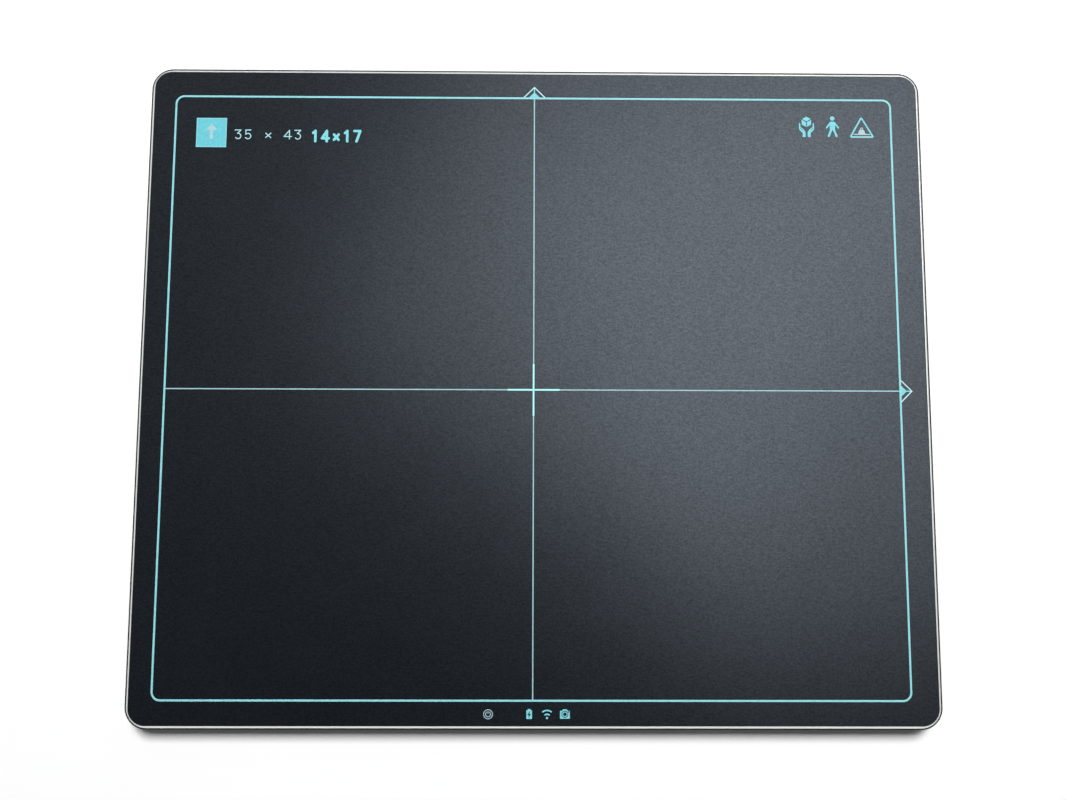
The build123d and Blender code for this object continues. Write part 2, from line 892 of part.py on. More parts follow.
def radio_arc(centre_x, radius):
    """Inks one arc of the wireless symbol."""
    spread = radians(radio_spread)
    base = status_y - radio_base
    side_x = radius * sin(spread)
    side_y = base + radius * cos(spread)
    left_end = (centre_x - side_x, side_y)
    right_end = (centre_x + side_x, side_y)
    pen(arc(left_end, (centre_x, base + radius), right_end), radio_line)


# Status symbols: power, battery, wireless link, image
with BuildPart() as status_symbols:
    with BuildSketch(ink_plane):
        with Locations((power_symbol_x, status_y)):
            for ring in (power_ring, power_ring_inner):
                Circle(ring)
                Circle(ring - power_line, mode=Mode.SUBTRACT)
            with Locations((0, power_ring_inner - power_line / 2)):
                Rectangle(power_gap, 2 * power_line, mode=Mode.SUBTRACT)
            with Locations((0, power_ring_inner)):
                Rectangle(power_line, 1.3, align=(Align.CENTER, Align.MAX))
        with Locations((first_status_x, status_y)):
            with Locations((0, -0.1)):
                RectangleRounded(3.2, 4.8, 0.35)
            with Locations((0, 2.5)):
                Rectangle(1.5, 0.7)
            bolt = [(0.5, 1.7), (-1.1, -0.35), (-0.2, -0.35)]
            bolt += [(-0.5, -2.0), (1.1, 0.1), (0.2, 0.1)]
            Polygon(*bolt, align=None, mode=Mode.SUBTRACT)
        wireless_x = first_status_x + status_pitch
        radio_arc(wireless_x, radio_reach_inner)
        radio_arc(wireless_x, radio_reach_outer)
        with Locations((wireless_x, status_y - radio_base)):
            Circle(radio_dot)
        with Locations((first_status_x + 2 * status_pitch, status_y)):
            with Locations((0, -0.25)):
                RectangleRounded(5.5, 4.3, 0.4)
            with Locations((0, 2.3)):
                Trapezoid(3.2, 0.9, 60)
            Circle(1.9, mode=Mode.SUBTRACT)
            Circle(1.5)
            Circle(1.0, mode=Mode.SUBTRACT)
            with Locations((2.1, 1.3)):
                Circle(0.4, mode=Mode.SUBTRACT)
    extrude(amount=ink_thickness)
save(status_symbols, "status_symbols")

# Power button, its seal and the switch behind it
button_face_y = front_wall_y + button_recess
flange_y = side_wall_inner_y
stem_y = flange_y + button_flange
button_board_y = side_wall_inner_y + button_board_setback
switch_y = button_board_y - switch_depth
plunger_y = switch_y - plunger_depth
with BuildPart() as power_button:
    side_posts([button_centre], button_radius, button_face_y, flange_y)
    fillet(power_button.faces().sort_by(Axis.Y)[0].edges(), button_edge_radius)
    # Flat ears behind the wall keep the button in and stop it turning
    block(
        (power_symbol_x - button_ear_length / 2, power_symbol_x + button_ear_length / 2),
        (flange_y, stem_y),
        (side_axis_z - button_ear_height / 2, side_axis_z + button_ear_height / 2),
    )
    side_posts([button_centre], button_stem_radius, stem_y, plunger_y)
save(power_button, "power_button")

with BuildPart() as button_seal:
    seal_outer = button_bore + seal_depth - seal_clearance
    side_posts([button_centre], seal_outer, seal_y, seal_y + seal_width)
    seal_inner = button_radius + seal_clearance
    side_posts([button_centre], seal_inner, seal_y, seal_y + seal_width, Mode.SUBTRACT)
save(button_seal, "button_seal")

plunger_bore_depth = plunger_depth + button_travel
with BuildPart() as switch_plunger:
    side_posts([button_centre], plunger_radius, plunger_y, switch_y + plunger_depth)
save(switch_plunger, "switch_plunger")

with BuildPart() as switch_body:
    block(
        (power_symbol_x - switch_size / 2, power_symbol_x + switch_size / 2),
        (switch_y, button_board_y),
        (side_axis_z - switch_size / 2, side_axis_z + switch_size / 2),
    )
    side_posts(
        [button_centre],
        plunger_radius + button_clearance,
        switch_y,
        switch_y + plunger_bore_depth,
        Mode.SUBTRACT,
    )
save(switch_body, "switch_body")

button_board_low = cover_top + side_pocket_floor + button_board_gap
with BuildPart() as button_board:
    block(
        (button_board_left, button_board_right),
        (button_board_y, button_board_y + button_board_thickness),
        (button_board_low, button_board_low + button_board_height),
    )
save(button_board, "button_board")

with BuildPart() as status_leds:
    for x, z in lens_centres:
        block(
            (x - led_size / 2, x + led_size / 2),
            (button_board_y - led_depth, button_board_y),
            (z - led_size / 2, z + led_size / 2),
        )
save(status_leds, "status_leds")

# Light guides from the lights to the outside of the wall
with BuildPart() as status_lenses:
    side_slots(lens_centres, lens_length, lens_height, front_wall_y + lens_recess, side_wall_inner_y)
    flange_length = lens_length + 2 * lens_flange
    flange_height = lens_height + 2 * lens_flange
    flange_end = side_wall_inner_y + lens_flange
    side_slots(lens_centres, flange_length, flange_height, side_wall_inner_y, flange_end)
    side_slots(lens_centres, lens_length, lens_height, flange_end, button_board_y - led_depth)
save(status_lenses, "status_lenses")

# Port: insert with a row of contacts between two magnets
port_face_y = front_wall_y + port_recess
port_back_y = front_wall_y + port_depth
magnet_centres = [(port_x + side * magnet_offset, port_z) for side in (-1, 1)]
contact_centres = [
    (port_x + (i - (port_contact_count - 1) / 2) * port_contact_pitch, port_z)
    for i in range(port_contact_count)
]
with BuildPart() as port_insert:
    side_slots(
        [port_centre], port_length - 2 * bond_gap, port_height - 2 * bond_gap, port_face_y, port_back_y
    )
    side_posts(
        magnet_centres, magnet_radius + bond_gap, port_face_y, port_face_y + magnet_depth, Mode.SUBTRACT
    )
    side_posts(
        contact_centres, port_contact_radius + bond_gap, port_face_y, port_back_y, Mode.SUBTRACT
    )
save(port_insert, "port_insert")

with BuildPart() as port_magnets:
    side_posts(magnet_centres, magnet_radius, port_face_y, port_face_y + magnet_depth)
save(port_magnets, "port_magnets")

with BuildPart() as port_contacts:
    contact_start = port_face_y - port_contact_stand
    contact_end = rail_inner_y + port_contact_tail
    side_posts(contact_centres, port_contact_radius, contact_start, contact_end)
save(port_contacts, "port_contacts")

# Battery bay, worked out from the battery
battery_top = support_bottom - tray_top_gap - tray_floor - battery_top_gap
tray_floor_z = battery_top + battery_top_gap
latch_low = cover_top + latch_float
latch_high = latch_low + latch_thickness
latch_bodies = ((1, "latch_right", "latch_spring_right"), (-1, "latch_left", "latch_spring_left"))
slot_length = latch_knob_length + latch_travel + 2 * latch_side_clearance
slot_start = latch_knob_start - latch_side_clearance
tray_radius = battery_radius + battery_clearance
tray_top = tray_floor_z + tray_floor


def bay_x(side, distance):
    """The X of a point at a distance outside the battery's end on the given side."""
    return battery_x + side * (battery_half + distance)


def span(side, start, end):
    """The X span between two distances outside the battery's end, in rising order."""
    return tuple(sorted((bay_x(side, start), bay_x(side, end))))


pin_x = bay_x(-1, -pin_inset)
pin_places = [(pin_x, (i - (pin_count - 1) / 2) * pin_pitch) for i in range(pin_count)]
with BuildPart() as battery_tray:
    outer_x = 2 * (bay_half_x + tray_wall)
    outer_y = 2 * (bay_half_y + tray_wall)
    rounded_block((battery_x, 0), outer_x, outer_y, tray_radius + tray_wall, cover_top, tray_top)
    rounded_block(
        (battery_x, 0),
        2 * bay_half_x,
        2 * bay_half_y,
        tray_radius,
        cover_top,
        tray_floor_z,
        Mode.SUBTRACT,
    )
    for side in (-1, 1):
        opening_half = latch_tongue_width / 2 + tray_opening_gap
        block(
            span(side, battery_clearance / 2, battery_clearance + 2 * tray_wall),
            (-opening_half, opening_half),
            (cover_top, latch_high + tray_opening_gap),
            Mode.SUBTRACT,
        )
    block(
        (pin_x - connector_width / 2 - bond_gap, pin_x + connector_width / 2 + bond_gap),
        (-connector_length / 2 - bond_gap, connector_length / 2 + bond_gap),
        (tray_floor_z, tray_top),
        Mode.SUBTRACT,
    )
save(battery_tray, "battery_tray")

# Battery: outer case with a ramped notch at each end for the latch tongues
inner_x = battery_length - 2 * battery_end_wall
inner_y = battery_width - 2 * battery_side_wall
case_inner_radius = battery_radius - battery_side_wall
ramp_slope = battery_lift / latch_travel
notch_depth = latch_engagement + latch_play
cavity_low = back_z + battery_face
with BuildPart() as battery_case:
    rounded_block((battery_x, 0), battery_length, battery_width, battery_radius, back_z, battery_top)
    fillet(battery_case.faces().sort_by(Axis.Z)[0].edges(), battery_edge_radius)
    rounded_block(
        (battery_x, 0), inner_x, inner_y, case_inner_radius, cavity_low, battery_top, Mode.SUBTRACT
    )
    for side in (-1, 1):
        with BuildSketch(Plane.XZ.offset(-latch_tongue_width / 2 - notch_side_gap)) as notch:
            notch_low = latch_low - notch_floor_gap
            ramp_low = latch_high + latch_play
            Polygon(
                (bay_x(side, 0), notch_low),
                (bay_x(side, -notch_depth), notch_low),
                (bay_x(side, -notch_depth), ramp_low),
                (bay_x(side, 0), ramp_low + ramp_slope * notch_depth),
                align=None,
            )
        notch_width = latch_tongue_width + 2 * notch_side_gap
        extrude(notch.sketch, amount=notch_width, mode=Mode.SUBTRACT)
save(battery_case, "battery_case")

lid_low = battery_top - battery_lid_thickness
with BuildPart() as battery_lid:
    rounded_block(
        (battery_x, 0),
        inner_x - 2 * bond_gap,
        inner_y - 2 * bond_gap,
        case_inner_radius,
        lid_low,
        battery_top,
    )
    posts(pin_places, battery_pad_bore, lid_low, battery_top, Mode.SUBTRACT)
save(battery_lid, "battery_lid")

with BuildPart() as battery_pads:
    posts(pin_places, battery_pad_radius, lid_low, battery_top)
save(battery_pads, "battery_pads")

board_low = lid_low - battery_board_thickness
with BuildPart() as battery_board:
    board_left = bay_x(-1, -battery_end_wall - battery_board_end_gap)
    board_half = inner_y / 2 - battery_board_side_gap
    block(
        (board_left, board_left + battery_board_length),
        (-board_half, board_half),
        (board_low, lid_low),
    )
save(battery_board, "battery_board")

cell_right = bay_x(1, -battery_end_wall - cell_gap)
cell_left = board_left + battery_board_length + cell_board_gap
cell_length = (cell_right - cell_left - (cell_count - 1) * cell_gap) / cell_count
with BuildPart() as battery_cells:
    for i in range(cell_count):
        cell_x = cell_right - cell_length / 2 - i * (cell_length + cell_gap)
        rounded_block(
            (cell_x, 0),
            cell_length,
            inner_y - 2 * cell_side_gap,
            cell_radius,
            cavity_low,
            cavity_low + cell_thickness,
        )
save(battery_cells, "battery_cells")

# Spring contacts in the floor of the bay
with BuildPart() as battery_connector:
    block(
        (pin_x - connector_width / 2, pin_x + connector_width / 2),
        (-connector_length / 2, connector_length / 2),
        (tray_floor_z, tray_top),
    )
    posts(pin_places, pin_radius + bond_gap, tray_floor_z, tray_top, Mode.SUBTRACT)
save(battery_connector, "battery_connector")

with BuildPart() as battery_spring_pins:
    posts(pin_places, pin_radius, battery_top, tray_top)
save(battery_spring_pins, "battery_spring_pins")

# Latches: a slider under the cover, its tongue in the battery's notch, its ridged knob in a slot
spring_z = cover_top + spring_radius + spring_wire / 2 + spring_seat_gap
boss_top = spring_z + spring_radius + spring_wire / 2
spring_inset = spring_wire / 2 + spring_end_gap
coil_length = spring_length - 2 * spring_inset
for side, latch_name, spring_name in latch_bodies:
    with BuildPart() as latch:
        slider_half = latch_width / 2
        tongue_half = latch_tongue_width / 2
        knob_half = latch_knob_width / 2
        boss_half = latch_boss_width / 2
        slider_heights = (latch_low, latch_high)
        block(span(side, latch_body_start, body_end), (-slider_half, slider_half), slider_heights)
        tongue_span = span(side, -latch_engagement, latch_body_start)
        block(tongue_span, (-tongue_half, tongue_half), slider_heights)
        knob_low = back_z + latch_knob_recess
        knob_span = span(side, latch_knob_start, latch_knob_start + latch_knob_length)
        block(knob_span, (-knob_half, knob_half), (knob_low, latch_low))
        ridge_pitch = latch_knob_length / (latch_ridge_count + 1)
        for i in range(1, latch_ridge_count + 1):
            middle = latch_knob_start + i * ridge_pitch
            block(
                span(side, middle - ridge_pitch / 5, middle + ridge_pitch / 5),
                (-knob_half, knob_half),
                (knob_low, knob_low + latch_ridge_depth),
                Mode.SUBTRACT,
            )
        boss_span = span(side, body_end - latch_boss_length, body_end)
        block(boss_span, (-boss_half, boss_half), (latch_high, boss_top))
    save(latch, latch_name)

    with BuildPart() as spring:
        coil_start = bay_x(side, body_end + spring_inset)
        with BuildLine():
            coil = Helix(
                pitch=coil_length / spring_turns,
                height=coil_length,
                radius=spring_radius,
                center=(coil_start, 0, spring_z),
                direction=(side, 0, 0),
            )
        with BuildSketch(Plane(origin=coil @ 0, z_dir=coil % 0)):
            Circle(spring_wire / 2)
        sweep()
    save(spring, spring_name)

with BuildPart() as latch_guides:
    guide_in = latch_width / 2 + latch_side_clearance
    guide_out = guide_in + guide_wall
    lip_low = latch_high + latch_float
    for side in (-1, 1):
        guide_span = span(side, guide_start, stop_end)
        for wall in (-1, 1):
            wall_span = sorted((wall * guide_in, wall * guide_out))
            lip_span = sorted((wall * (guide_in - guide_overhang), wall * guide_out))
            block(guide_span, wall_span, (cover_top, lip_low + guide_lip))
            block(guide_span, lip_span, (lip_low, lip_low + guide_lip))
        stop_top = max(lip_low + guide_lip, boss_top)
        block(span(side, stop_start, stop_end), (-guide_out, guide_out), (cover_top, stop_top))
save(latch_guides, "latch_guides")

# Rear cover
cup_places = [(side * cup_x, 0) for side in (-1, 1)]
pad_places = [(x, y) for x in (-pad_x, pad_x) for y in (-pad_y, pad_y)]
window_places = [(side * window_x, window_y) for side in (-1, 1)]
rim_top = back_z + cup_rim_thickness
with BuildPart() as rear_cover:
    frame_slab(cover_margin, back_z, cover_top)
    rounded_block(
        (battery_x, 0),
        2 * bay_half_x,
        2 * bay_half_y,
        tray_radius,
        back_z,
        cover_top,
        Mode.SUBTRACT,
    )
    for place in cup_places:
        outer_width = cup_width + 2 * cup_wall
        outer_length = cup_length + 2 * cup_wall
        rounded_block(
            place, outer_width, outer_length, cup_radius + cup_wall, back_z, cover_top, Mode.SUBTRACT
        )
        rounded_block(
            place,
            outer_width + 2 * cup_rim,
            outer_length + 2 * cup_rim,
            cup_radius + cup_wall + cup_rim,
            back_z,
            rim_top,
            Mode.SUBTRACT,
        )
    for side in (-1, 1):
        slot_half = latch_knob_width / 2 + latch_side_clearance
        slot_span = span(side, slot_start, slot_start + slot_length)
        block(slot_span, (-slot_half, slot_half), (back_z, cover_top), Mode.SUBTRACT)
    slot_blocks(window_places, window_length, window_width, back_z, cover_top, Mode.SUBTRACT)
    slot_blocks(pad_places, pad_length, pad_width, back_z, back_z + pad_inset, Mode.SUBTRACT)
    rounded_block(
        (label_x, label_y),
        label_length,
        label_width,
        label_radius,
        back_z,
        back_z + label_thickness,
        Mode.SUBTRACT,
    )
    head_bore = rear_screw_head + thread_clearance
    with BuildSketch(Plane.XY.offset(back_z)) as wide:
        with Locations(*rear_screw_places):
            Circle(head_bore)
    with BuildSketch(Plane.XY.offset(cover_top)) as narrow:
        with Locations(*rear_screw_places):
            Circle(rear_screw_bore)
    low_faces = wide.sketch.faces().sort_by(Axis.X).sort_by(Axis.Y)
    high_faces = narrow.sketch.faces().sort_by(Axis.X).sort_by(Axis.Y)
    for low_face, high_face in zip(low_faces, high_faces):
        loft([low_face, high_face], mode=Mode.SUBTRACT)
save(rear_cover, "rear_cover")

with BuildPart() as finger_cups:
    for place in cup_places:
        cup_top = back_z + cup_depth
        rounded_block(
            place,
            cup_width + 2 * cup_wall - 2 * bond_gap,
            cup_length + 2 * cup_wall - 2 * bond_gap,
            cup_radius + cup_wall,
            rim_top,
            cup_top + cup_wall,
        )
        rounded_block(
            place,
            cup_width + 2 * (cup_wall + cup_rim - bond_gap),
            cup_length + 2 * (cup_wall + cup_rim - bond_gap),
            cup_radius + cup_wall + cup_rim,
            back_z,
            rim_top,
        )
        rounded_block(place, cup_width, cup_length, cup_radius, back_z, cup_top, Mode.SUBTRACT)
save(finger_cups, "finger_cups")

with BuildPart() as rear_gasket:
    frame_slab(gasket_out + gasket_clearance, cover_top, cover_top + gasket_depth)
    frame_slab(gasket_in - gasket_clearance, cover_top, cover_top + gasket_depth, Mode.SUBTRACT)
save(rear_gasket, "rear_gasket")

with BuildPart() as rear_screws:
    posts(rear_screw_places, rear_screw_radius, cover_top, back_z + rear_screw_length)
    for x, y in rear_screw_places:
        with Locations((x, y, (back_z + cover_top) / 2)):
            Cone(rear_screw_head, rear_screw_radius, cover_thickness)
    cross_drive(rear_screw_places, back_z, 1, rear_screw_drive)
save(rear_screws, "rear_screws")

with BuildPart() as rear_pads:
    slot_blocks(pad_places, pad_length - 2 * bond_gap, pad_width - 2 * bond_gap, 0, back_z + pad_inset)
save(rear_pads, "rear_pads")

with BuildPart() as antenna_windows:
    slot_blocks(
        window_places, window_length - 2 * bond_gap, window_width - 2 * bond_gap, back_z, cover_top
    )
save(antenna_windows, "antenna_windows")

with BuildPart() as antennas:
    with BuildSketch(Plane.XY.offset(cover_top)):
        antenna_width = window_width - 2 * antenna_margin
        with Locations(*window_places):
            Rectangle(window_length - window_width - 2 * antenna_margin, antenna_width)
    extrude(amount=antenna_thickness)
save(antennas, "antennas")

with BuildPart() as label_plate:
    rounded_block(
        (label_x, label_y),
        label_length - 2 * bond_gap,
        label_width - 2 * bond_gap,
        label_radius - bond_gap,
        back_z,
        back_z + label_thickness,
    )
save(label_plate, "label_plate")


# Electronics
def board_holes(x, y, length, width, columns, rows):
    """Screw places of a board, in even columns and rows inside its edge."""
    half_x = length / 2 - board_hole_inset
    half_y = width / 2 - board_hole_inset
    xs = [x + (2 * i / (columns - 1) - 1) * half_x if columns > 1 else x for i in range(columns)]
    ys = [y + (2 * i / (rows - 1) - 1) * half_y if rows > 1 else y for i in range(rows)]
    return [(a, b) for a in xs for b in ys]


main_holes = board_holes(main_board_x, main_board_y, main_board_length, main_board_width, 2, 4)
readout_holes = board_holes(
    0, readout_board_y, readout_board_length, readout_board_width, 5, 1
)
gate_holes = board_holes(gate_board_x, 0, gate_board_length, gate_board_width, 1, 4)
board_holes_all = main_holes + readout_holes + gate_holes


def circuit_board(x, y, length, width, holes):
    """Adds a circuit board with its screw holes."""
    rounded_block((x, y), length, width, board_radius, board_bottom, board_top)
    hole_radius = board_screw_radius + board_hole_clearance
    posts(holes, hole_radius, board_bottom, board_top, Mode.SUBTRACT)


with BuildPart() as main_board:
    circuit_board(main_board_x, main_board_y, main_board_length, main_board_width, main_holes)
save(main_board, "main_board")

with BuildPart() as readout_board:
    circuit_board(0, readout_board_y, readout_board_length, readout_board_width, readout_holes)
save(readout_board, "readout_board")

with BuildPart() as gate_board:
    circuit_board(gate_board_x, 0, gate_board_length, gate_board_width, gate_holes)
save(gate_board, "gate_board")

with BuildPart() as board_standoffs:
    posts(board_holes_all, standoff_radius, board_top, support_bottom)
    standoff_bore = board_screw_radius + thread_clearance
    posts(board_holes_all, standoff_bore, board_top, support_bottom, Mode.SUBTRACT)
save(board_standoffs, "board_standoffs")

with BuildPart() as board_screws:
    screw_head_low = board_bottom - board_screw_head_height
    screw_end = support_bottom - board_screw_end_gap
    posts(board_holes_all, board_screw_radius, board_bottom, screw_end)
    posts(board_holes_all, board_screw_head, screw_head_low, board_bottom)
    cross_drive(board_holes_all, screw_head_low, 1, board_screw_head)
save(board_screws, "board_screws")


def components(places, length, width, height):
    """Adds components of one size under a board, at (x, y) places."""
    heights = (board_bottom - height, board_bottom)
    for x, y in places:
        block((x - length / 2, x + length / 2), (y - width / 2, y + width / 2), heights)


def on_main(across, along):
    """A place on the main board, as shares of the way from its centre to its edges."""
    return (
        main_board_x + across * main_board_length / 2,
        main_board_y + along * main_board_width / 2,
    )


with BuildPart() as board_chips:
    components([on_main(-0.25, 0.4)], processor_size, processor_size, chip_height)
    components([on_main(0.45, v) for v in (0.3, 0.48)], memory_length, memory_width, chip_height)
    components([on_main(u, -0.2) for u in (-0.6, -0.3, 0)], regulator_size, regulator_size, chip_height)
    components([on_main(0.6, v) for v in (-0.8, -0.66, -0.52)], coil_size, coil_size, can_height)
    readout_chip_places = [(x, readout_board_y + readout_chip_width) for x in readout_places]
    components(readout_chip_places, readout_chip_length, readout_chip_width, chip_height)
save(board_chips, "board_chips")

with BuildPart() as shield_cans:
    components([on_main(-0.37, -0.6)], large_can_length, large_can_width, can_height)
    components([on_main(0.53, 0.64)], small_can_length, small_can_width, can_height)
save(shield_cans, "shield_cans")

with BuildPart() as wireless_module:
    components([on_main(-0.45, 0.845)], module_length, module_width, can_height)
save(wireless_module, "wireless_module")

flex_top = scintillator_bottom + flex_thickness / 2
board_level = board_top + flex_thickness / 2
under_plate_level = support_bottom - 2 * flex_thickness


def flex_path(start, drop, landing, step=None):
    """The edges of a flex in section: off the glass, down its slot and onto its board.

    With a step, the flex first runs along under the support plate as far as that."""
    points = [(start, flex_top), (drop, flex_top)]
    if step is not None:
        points += [(drop, under_plate_level), (step, under_plate_level), (step, board_level)]
    else:
        points += [(drop, board_level)]
    with BuildLine(mode=Mode.PRIVATE) as line:
        FilletPolyline(*points, (landing, board_level), radius=flex_bend)
    return line.line.edges()


with BuildPart() as readout_flexes:
    for x in readout_places:
        corner = (x - readout_flex_width / 2, 0, 0)
        with BuildSketch(Plane(origin=corner, x_dir=(0, 1, 0), z_dir=(1, 0, 0))) as strip:
            landing_y = readout_board_y + readout_board_width / 2 - flex_landing
            path = flex_path(glass_top - flex_overlap, readout_drop_y, landing_y)
            trace(path, line_width=flex_thickness)
        extrude(strip.sketch, amount=readout_flex_width)
save(readout_flexes, "readout_flexes")

with BuildPart() as gate_flexes:
    for y in gate_places:
        corner = (0, y + gate_flex_width / 2, 0)
        with BuildSketch(Plane(origin=corner, x_dir=(1, 0, 0), z_dir=(0, -1, 0))) as strip:
            gate_left = gate_board_x - gate_board_length / 2
            landing_x = gate_left + flex_landing
            step_x = gate_left - flex_step
            path = flex_path(glass_left + flex_overlap, gate_drop_x, landing_x, step_x)
            trace(path, line_width=flex_thickness)
        extrude(strip.sketch, amount=gate_flex_width)
save(gate_flexes, "gate_flexes")

# Flat cables between the boards
with BuildPart() as board_cables:
    cable_span = (board_top, board_top + cable_thickness)
    for u in (-cable_pitch / 2, cable_pitch / 2):
        block(
            (main_board_x + u - cable_width / 2, main_board_x + u + cable_width / 2),
            (main_high - cable_overlap, readout_board_y - readout_board_width / 2 + cable_overlap),
            cable_span,
        )
    block(
        (gate_board_x + gate_board_length / 2 - cable_overlap, main_left + cable_overlap),
        (main_board_y - cable_width / 2, main_board_y + cable_width / 2),
        cable_span,
    )
    # From the main board round to the button board
    lead_x = main_right - lead_inset
    lead_y = button_board_y + button_board_thickness
    block((lead_x, lead_x + lead_width), (lead_y, main_low + cable_overlap), cable_span)
    block((lead_x, button_board_left + lead_width), (lead_y, lead_y + lead_width), cable_span)
    # From the spring contacts of the battery bay, over its floor, to a plug on the main board
    plug_x = main_right - cable_overlap
    plug_half = connector_length / 2
    block((plug_x, pin_x), (-plug_half, plug_half), (tray_top, support_bottom))
    block((plug_x, plug_x + plug_length), (-plug_half, plug_half), (board_top, tray_top))
save(board_cables, "board_cables")
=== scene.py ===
import bpy
from mathutils import Matrix, Vector


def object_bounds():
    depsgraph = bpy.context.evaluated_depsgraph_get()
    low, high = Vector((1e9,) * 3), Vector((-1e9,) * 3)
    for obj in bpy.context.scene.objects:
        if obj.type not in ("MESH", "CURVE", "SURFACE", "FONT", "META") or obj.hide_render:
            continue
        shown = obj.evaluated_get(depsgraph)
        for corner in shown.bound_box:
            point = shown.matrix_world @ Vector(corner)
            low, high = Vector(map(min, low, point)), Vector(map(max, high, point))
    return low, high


# The detector lies on its back on a white table, seen from nearly straight above.
# Lengths are in metres, and colours are given as 0 to 255 in sRGB.

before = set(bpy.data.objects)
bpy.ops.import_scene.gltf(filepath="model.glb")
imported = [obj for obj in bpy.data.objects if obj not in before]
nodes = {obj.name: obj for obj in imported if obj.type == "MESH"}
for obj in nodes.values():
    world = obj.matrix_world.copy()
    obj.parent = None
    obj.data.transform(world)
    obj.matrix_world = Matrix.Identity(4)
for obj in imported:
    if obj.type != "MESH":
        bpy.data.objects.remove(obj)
cad_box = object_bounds()

# Where a noise texture's values lie: most of them, nearly all of them, and the whole scale
noise_core = (0.3, 0.7)
noise_wide = (0.25, 0.75)
whole_scale = (0.0, 1.0)


def linear(red, green, blue):
    """A colour given as 0 to 255 in sRGB, as linear values."""
    def one(value):
        part = value / 255
        return part / 12.92 if part <= 0.04045 else ((part + 0.055) / 1.055) ** 2.4

    return (one(red), one(green), one(blue), 1.0)


def span(name):
    """The smallest and the largest corner of a CAD node."""
    corners = [tuple(corner) for corner in nodes[name].bound_box]
    return [Vector([pick(values) for values in zip(*corners)]) for pick in (min, max)]


class Graph:
    """A node tree, with short calls for the nodes that the looks below share."""

    def __init__(self, tree, place):
        self.tree = tree
        self.place = self.add("TexCoord").outputs[place]

    def add(self, kind):
        return self.tree.nodes.new("ShaderNode" + kind)

    def link(self, start, end):
        self.tree.links.new(start, end)

    def feed(self, sockets, values):
        """Links each value to its socket, or sets it there where it is a plain one."""
        for socket, value in zip(sockets, values):
            if isinstance(value, bpy.types.NodeSocket):
                self.link(value, socket)
            else:
                socket.default_value = value

    def noise(self, scale, detail=2.0, stretch=None, turn=0.0):
        """A noise texture, which can be drawn out along an axis and then turned about Z."""
        texture = self.add("TexNoise")
        texture.inputs["Scale"].default_value = scale
        texture.inputs["Detail"].default_value = detail
        place = self.place
        if stretch is not None:
            mapping = self.add("Mapping")
            mapping.inputs["Scale"].default_value = stretch
            mapping.inputs["Rotation"].default_value = (0.0, 0.0, turn)
            self.link(place, mapping.inputs["Vector"])
            place = mapping.outputs["Vector"]
        self.link(place, texture.inputs["Vector"])
        return texture.outputs["Fac"]

    def spread(self, value, source, target, smooth=False):
        """Maps a value from one range to another and keeps it inside the second."""
        remap = self.add("MapRange")
        if smooth:
            remap.interpolation_type = "SMOOTHSTEP"
        keys = ("Value", "From Min", "From Max", "To Min", "To Max")
        self.feed([remap.inputs[key] for key in keys], (value, *source, *target))
        return remap.outputs["Result"]

    def math(self, operation, *values):
        node = self.add("Math")
        node.operation = operation
        self.feed(node.inputs, values)
        return node.outputs["Value"]

    def vector(self, operation, output, *values):
        node = self.add("VectorMath")
        node.operation = operation
        self.feed(node.inputs, values)
        return node.outputs[output]

    def axis(self, name):
        split = self.add("SeparateXYZ")
        self.link(self.place, split.inputs["Vector"])
        return split.outputs[name]

    def away(self, name, middle):
        """The distance from a place along one axis."""
        return self.math("ABSOLUTE", self.math("SUBTRACT", self.axis(name), middle))

    def within(self, centre, reach):
        """1 inside a square around a place on the plate, and 0 outside it."""
        sides = [self.math("LESS_THAN", self.away(*side), reach) for side in zip("XY", centre)]
        return self.math("MULTIPLY", *sides)

    def blend(self, factor, first, second):
        """Mixes two colours, whose sockets are the mix node's inputs 6 and 7 and its output 2."""
        mix = self.add("Mix")
        mix.data_type = "RGBA"
        self.feed((mix.inputs["Factor"], mix.inputs[6], mix.inputs[7]), (factor, first, second))
        return mix.outputs[2]


class Look(Graph):
    """A material with one Principled shader."""

    def __init__(self, name):
        self.material = bpy.data.materials.new(name)
        self.material.use_nodes = True
        super().__init__(self.material.node_tree, "Object")
        self.shader = self.tree.nodes["Principled BSDF"]

    def set(self, **values):
        for key, value in values.items():
            self.shader.inputs[key.replace("_", " ")].default_value = value

    def drive(self, key, socket):
        self.link(socket, self.shader.inputs[key])

    def mottle(self, value, dark, light, source=noise_core):
        """Goes from a dark to a light colour with a value that varies over the surface."""
        factor = self.spread(value, source, whole_scale)
        self.drive("Base Color", self.blend(factor, linear(*dark), linear(*light)))

    def recolor(self, factor, tint):
        """Changes the colour that the shader has so far where the factor is 1."""
        before = self.shader.inputs["Base Color"].links[0].from_socket
        self.drive("Base Color", self.blend(factor, before, linear(*tint)))

    def bump(self, height, strength, distance):
        node = self.add("Bump")
        node.inputs["Strength"].default_value = strength
        node.inputs["Distance"].default_value = distance
        self.link(height, node.inputs["Height"])
        self.drive("Normal", node.outputs["Normal"])


def grained(name, dark, light, rough, grain=1400.0, depth=0.00003, metallic=0.0, level=0.5):
    """A fine-grained surface: two near colours, uneven gloss and a shallow relief."""
    unevenness = 0.04
    look = Look(name)
    fine = look.noise(grain, detail=3.0)
    look.mottle(fine, dark, light)
    patches = look.noise(scale=25.0, detail=4.0)
    rough_range = (rough - unevenness, rough + unevenness)
    look.drive("Roughness", look.spread(patches, noise_core, rough_range))
    look.bump(fine, strength=0.5, distance=depth)
    look.set(Metallic=metallic, Specular_IOR_Level=level)
    return look


def metal(name, dark, light, rough, grain, depth=0.00001, metallic=1.0):
    """Bare metal, foil or gilding: a grained surface, as a rule with a shallower relief."""
    return grained(name, dark, light, rough, grain, depth, metallic)


